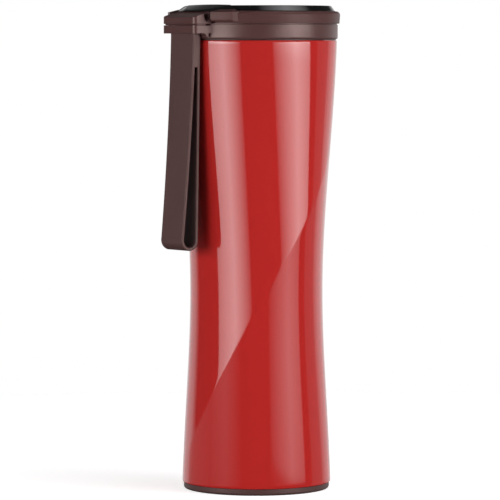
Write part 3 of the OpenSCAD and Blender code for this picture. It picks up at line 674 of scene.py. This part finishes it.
def hinge_hood():
    """Raised black segment over the hinge: a cone cut upright at its ridge, crowned behind it."""
    rise = HOOD_HIGH - HOOD_LOW
    ridge = (-RIDGE_U, 0, HOOD_HIGH)
    bm = bmesh.new()
    bmesh.ops.create_cone(bm, cap_ends=True, segments=HOOD_COLUMNS, depth=rise,
                          radius1=WINDOW_R, radius2=WINDOW_R - HOOD_LEAN * rise)
    bmesh.ops.translate(bm, verts=bm.verts[:], vec=UP * (HOOD_LOW + rise / 2))
    planed(bm, ridge, (1, 0, 0))
    planed(bm, ridge, (-HOOD_SLOPE, 0, 1))
    for step in range(-HOOD_STEPS, HOOD_STEPS + 1):
        bmesh.ops.bisect_plane(bm, geom=bm.verts[:] + bm.edges[:] + bm.faces[:], dist=CUT_WELD,
                               plane_co=(0, step * HOOD_STEP, 0), plane_no=(0, 1, 0))
    for v in bm.verts:
        v.co.z = max(HOOD_LOW, v.co.z - HOOD_CROWN * v.co.y ** 2)
    round_edges(bm, HOOD_ROUND, segments=3, least=ANY_EDGE)
    return rigid_piece("hinge_hood", bm, "hinge_cap")


def lid_lip(name, slot, r_in, r_out, low, high):
    """Thin ring on the lid that closes a shadow gap from the inside."""
    bm = bmesh.new()
    section = bm.faces.new([bm.verts.new((r, 0, z)) for r, z in (
        (r_in, low), (r_out, low), (r_out, high), (r_in, high))])
    edges = section.edges[:]
    verts = section.verts[:]
    bmesh.ops.delete(bm, geom=[section], context="FACES_ONLY")
    bmesh.ops.spin(bm, geom=verts + edges, cent=(0, 0, 0), axis=UP, angle=2 * math.pi, steps=LIP_COLUMNS,
                   use_merge=True)
    bmesh.ops.recalc_face_normals(bm, faces=bm.faces[:])
    piece = add_piece(name, bm, MATERIALS[slot])
    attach(piece, "lid")
    return piece


painted_shell()
carry_strap()
plug_thread()
sloping_block()
eared_ring()
glass_window()
hinge_hood()
# Painted shade: the rim lip is black so that the gap under the collar reads as a dark line
lid_lip("rim_shade_lip", "black_plastic", LIP_IN, RIM_LIP_R, SHELL_HIGH + LIP_GAP, COLLAR_LOW + LIP_GAP)
lid_lip("groove_lip", "brown_plastic", LIP_IN, GROOVE_LIP_R, COLLAR_HIGH - LIP_GAP, COVER_LOW - LIP_GAP)

# Rigid nodes with rounded edges: piece, node, radius in millimetres, steps, least turn and shortest edge
ROUNDED = (
    ("collar_band", "lid_collar", 0.2, 3, SHARP_EDGE, CROWDED),
    ("drinking_insert", "lid_plug", 0.3, 3, CLEAR_EDGE, 0),
    ("cover_underside", "cover_plate", 0.12, 2, SHARP_EDGE, CROWDED),
    ("hatch_door", "battery_door", 0.1, 2, CLEAR_EDGE, 0),
    ("sensor_button", "sensor_cap", 0.4, 4, CLEAR_EDGE, 0),
    ("lug_screw_pair", "lug_screws", 0.12, 2, CLEAR_EDGE, 0),
    ("cover_screw_set", "cover_screws", 0.15, 2, CLEAR_EDGE, 0),
    ("foot_pad", "base_pad", 0.2, 3, SHARP_EDGE, 0),
    ("rim_gasket", "lid_gasket", 0.25, 3, SQUARE_EDGE, 0),
    ("spout_pads", "spout_seal", 0.45, 4, CLEAR_EDGE, 0),
    ("hatch_seal", "battery_door_seal", 0.12, 2, CLEAR_EDGE, 0),
    ("pin_bushes", "pin_spacers", 0.12, 2, CLEAR_EDGE, 0),
)
for name, node, width, segments, least, shortest in ROUNDED:
    copy = merged_copy(node)
    round_edges(copy, width * MM, segments, least, shortest)
    rigid_piece(name, copy, node)

for node in ("inner_flask", "shell_bottom", "getter", "hinge_pin", "display_module", "circuit_board",
             "coin_cell", "battery_contact"):
    frame["nodes"][node].material_slots[0].material = MATERIALS[SLOT_OF[node]]


# Camera: its direction round the mug, distance, eye height, aim and lens
VIEW_TURN = math.radians(-36.4)
VIEW_DISTANCE = 1.64
EYE_Z = 0.203
AIM_Z = 0.10806
AIM_LEFT = 0.0029
LENS = 260.9
SENSOR = 36
TO_CAMERA = Vector((math.sin(VIEW_TURN), -math.cos(VIEW_TURN), 0))
TO_RIGHT = Vector((math.cos(VIEW_TURN), math.sin(VIEW_TURN), 0))


def photo_camera():
    """Camera that stands where the photograph was taken from."""
    data = bpy.data.cameras.new("photo_camera")
    data.lens = LENS
    data.sensor_width = SENSOR
    camera = bpy.data.objects.new("photo_camera", data)
    bpy.context.scene.collection.objects.link(camera)
    camera.location = TO_CAMERA * VIEW_DISTANCE + UP * EYE_Z
    aim = TO_RIGHT * -AIM_LEFT + UP * AIM_Z
    camera.rotation_euler = (aim - camera.location).to_track_quat("-Z", "Y").to_euler()
    bpy.context.scene.camera = camera


# Light and floor

# Soft boxes: name, direction and peak, then stops of brightness in degrees round the mug and in height
BOX_DISTANCE = 0.9
SOFT_BOXES = (
    ("left_box", -51, 6.2,
     ((-79, 0.42), (-48.6, 1), (-23.5, 0.1)),
     ((-0.25, 0.08), (-0.015, 0.13), (0.015, 1), (0.22, 1), (0.28, 1.75), (0.385, 1.75))),
    ("right_box", 52, 6.2,
     ((22.5, 0.1), (57, 1), (81.5, 0.48)),
     ((-0.25, 0.05), (-0.15, 0.08), (-0.125, 0.36), (0.01, 0.45), (0.035, 1), (0.22, 1), (0.28, 1.75),
      (0.385, 1.75))),
    ("right_panel", 112, 0.32, ((96, 1), (129, 1)), ((-0.3, 1), (0.4, 1))),
    ("left_low_panel", -102, 0.35, ((-126, 1), (-79, 1)), ((-0.25, 1), (-0.04, 1), (-0.02, 0.1))),
)

# White wall behind the mug: how far round it begins, as a cosine, and where it ends upwards, as a sine
WALL_GLOW = 0.85
WALL_SIDE = (0.56, 0.7)
WALL_TOP = (0.14, 0.31)
DARK_ROOM = 0.05
ROOM_FILL = 0.06

# Round glow above the mug: its power, radius and place
TOP_GLOW = 22
TOP_GLOW_R = 0.8
TOP_GLOW_AT = TO_RIGHT * 0.7 + TO_CAMERA * 0.2 + UP * 1.5

# Round table top: its radius, its gap under the foot, and how much brighter the camera sees it
FLOOR_R = 0.45
FLOOR_GAP = 0.05 * MM
FLOOR_TONE = (0.85, 0.85, 0.85, 1)
FLOOR_LIFT = 0.7
WHITE = (1, 1, 1, 1)


def around(degrees):
    """Level direction that many degrees to the right of the camera, seen from the mug."""
    a = math.radians(degrees)
    return TO_CAMERA * math.cos(a) + TO_RIGHT * math.sin(a)


def ranged(tree, value, from_low, from_high, to_low, to_high):
    """A value carried from one range to another and held at its ends."""
    spread = node_in(tree, "ShaderNodeMapRange")
    spread.inputs["From Min"].default_value = from_low
    spread.inputs["From Max"].default_value = from_high
    spread.inputs["To Min"].default_value = to_low
    spread.inputs["To Max"].default_value = to_high
    tree.links.new(value, spread.inputs["Value"])
    return spread.outputs["Result"]


def level_ramp(tree, value, low, high, stops):
    """Brightness read from a ramp of (place, level) stops between two values."""
    ramp = node_in(tree, "ShaderNodeValToRGB")
    ends = ramp.color_ramp.elements
    while len(ends) < len(stops):
        ends.new(0.5)
    for stop, (place, level) in zip(ends, stops):
        stop.position = (place - low) / (high - low)
        stop.color = (level, level, level, 1)
    tree.links.new(ranged(tree, value, low, high, 0, 1), ramp.inputs["Fac"])
    return ramp.outputs["Color"]


def softbox(name, direction, peak, across, upward):
    """Upright soft light; its brightness follows stops in degrees round the mug and in height."""
    left, right = (BOX_DISTANCE * math.tan(math.radians(across[i][0] - direction)) for i in (0, -1))
    low, high = upward[0][0], upward[-1][0]
    light = bpy.data.lights.new(name, "AREA")
    light.shape = "RECTANGLE"
    light.size = right - left
    light.size_y = high - low
    light.energy = peak * math.pi * light.size * light.size_y
    light.use_nodes = True
    tree = light.node_tree
    emission = tree.nodes["Emission"]
    place = node_in(tree, "ShaderNodeNewGeometry")
    level_way = around(direction + 90)
    along = node_in(tree, "ShaderNodeVectorMath", operation="DOT_PRODUCT")
    along.inputs[1].default_value = level_way
    split = node_in(tree, "ShaderNodeSeparateXYZ")
    both = node_in(tree, "ShaderNodeMath", operation="MULTIPLY")
    stops = [(BOX_DISTANCE * math.tan(math.radians(turn - direction)), level) for turn, level in across]
    link = tree.links.new
    link(place.outputs["Position"], along.inputs[0])
    link(place.outputs["Position"], split.inputs["Vector"])
    link(level_ramp(tree, along.outputs["Value"], left, right, stops), both.inputs[0])
    link(level_ramp(tree, split.outputs["Z"], low, high, upward), both.inputs[1])
    link(both.outputs["Value"], emission.inputs["Strength"])
    lamp = bpy.data.objects.new(name, light)
    bpy.context.scene.collection.objects.link(lamp)
    middle = level_way * (left + right) / 2 + UP * (low + high) / 2
    lamp.location = around(direction) * BOX_DISTANCE + middle
    lamp.rotation_euler = around(direction).to_track_quat("Z", "Y").to_euler()
    lamp.visible_camera = False
    return lamp


def studio_world():
    """White to the camera, a white wall behind the mug in reflections, and a low fill for everything else."""
    world = bpy.data.worlds.new("studio")
    bpy.context.scene.world = world
    world.use_nodes = True
    tree = world.node_tree
    tree.nodes.clear()
    out = node_in(tree, "ShaderNodeOutputWorld")
    path = node_in(tree, "ShaderNodeLightPath")
    place = node_in(tree, "ShaderNodeTexCoord")
    behind = node_in(tree, "ShaderNodeVectorMath", operation="DOT_PRODUCT")
    behind.inputs[1].default_value = -TO_CAMERA
    split = node_in(tree, "ShaderNodeSeparateXYZ")
    height = node_in(tree, "ShaderNodeMath", operation="ABSOLUTE")
    wall = node_in(tree, "ShaderNodeMath", operation="MULTIPLY_ADD")
    wall.inputs[2].default_value = DARK_ROOM
    seen, mirrored, fill = (node_in(tree, "ShaderNodeBackground") for _ in range(3))
    fill.inputs["Strength"].default_value = ROOM_FILL
    for background in (seen, mirrored, fill):
        background.inputs["Color"].default_value = WHITE
    shiny = node_in(tree, "ShaderNodeMath", operation="MAXIMUM")
    by_shine = node_in(tree, "ShaderNodeMixShader")
    by_camera = node_in(tree, "ShaderNodeMixShader")
    link = tree.links.new
    link(place.outputs["Generated"], behind.inputs[0])
    link(place.outputs["Generated"], split.inputs["Vector"])
    link(split.outputs["Z"], height.inputs[0])
    link(ranged(tree, behind.outputs["Value"], *WALL_SIDE, 0, WALL_GLOW), wall.inputs[0])
    link(ranged(tree, height.outputs["Value"], *WALL_TOP, 1, 0), wall.inputs[1])
    link(wall.outputs["Value"], mirrored.inputs["Strength"])
    link(path.outputs["Is Glossy Ray"], shiny.inputs[0])
    link(path.outputs["Is Transmission Ray"], shiny.inputs[1])
    link(shiny.outputs["Value"], by_shine.inputs["Fac"])
    link(fill.outputs["Background"], by_shine.inputs[1])
    link(mirrored.outputs["Background"], by_shine.inputs[2])
    link(path.outputs["Is Camera Ray"], by_camera.inputs["Fac"])
    link(by_shine.outputs["Shader"], by_camera.inputs[1])
    link(seen.outputs["Background"], by_camera.inputs[2])
    link(by_camera.outputs["Shader"], out.inputs["Surface"])


def pale_floor():
    """Round table top: white to the camera except where the mug shades it."""
    bm = bmesh.new()
    bmesh.ops.create_circle(bm, cap_ends=True, segments=96, radius=FLOOR_R,
                            matrix=Matrix.Translation(UP * -FLOOR_GAP))
    mesh = bpy.data.meshes.new("pale_floor")
    bm.to_mesh(mesh)
    bm.free()
    floor = bpy.data.objects.new("pale_floor", mesh)
    bpy.context.scene.collection.objects.link(floor)
    material = bpy.data.materials.new("pale_floor")
    material.use_nodes = True
    tree = material.node_tree
    tree.nodes.clear()
    out = node_in(tree, "ShaderNodeOutputMaterial")
    path = node_in(tree, "ShaderNodeLightPath")
    matte = node_in(tree, "ShaderNodeBsdfDiffuse")
    matte.inputs["Color"].default_value = FLOOR_TONE
    glow = node_in(tree, "ShaderNodeEmission")
    glow.inputs["Strength"].default_value = FLOOR_LIFT
    lifted = node_in(tree, "ShaderNodeAddShader")
    pick = node_in(tree, "ShaderNodeMixShader")
    link = tree.links.new
    link(matte.outputs["BSDF"], lifted.inputs[0])
    link(glow.outputs["Emission"], lifted.inputs[1])
    link(path.outputs["Is Camera Ray"], pick.inputs["Fac"])
    link(matte.outputs["BSDF"], pick.inputs[1])
    link(lifted.outputs["Shader"], pick.inputs[2])
    link(pick.outputs["Shader"], out.inputs["Surface"])
    mesh.materials.append(material)
    floor.visible_glossy = False


def top_light():
    """Round glow above the mug, brightest in its middle."""
    light = bpy.data.lights.new("top_light", "AREA")
    light.shape = "DISK"
    light.size = 2 * TOP_GLOW_R
    light.energy = TOP_GLOW
    light.use_nodes = True
    tree = light.node_tree
    place = node_in(tree, "ShaderNodeNewGeometry")
    away = node_in(tree, "ShaderNodeVectorMath", operation="DISTANCE")
    lamp = bpy.data.objects.new("top_light", light)
    bpy.context.scene.collection.objects.link(lamp)
    lamp.location = TOP_GLOW_AT
    lamp.rotation_euler = (TOP_GLOW_AT - UP * SHELL_HIGH).to_track_quat("Z", "Y").to_euler()
    lamp.visible_camera = False
    away.inputs[1].default_value = TOP_GLOW_AT
    fading = ranged(tree, away.outputs["Value"], 0, TOP_GLOW_R, 1, 0)
    tree.links.new(place.outputs["Position"], away.inputs[0])
    tree.links.new(fading, tree.nodes["Emission"].inputs["Strength"])


photo_camera()
studio_world()
pale_floor()
for box in SOFT_BOXES:
    softbox(*box)
top_light()

bpy.context.scene.view_settings.view_transform = "Standard"
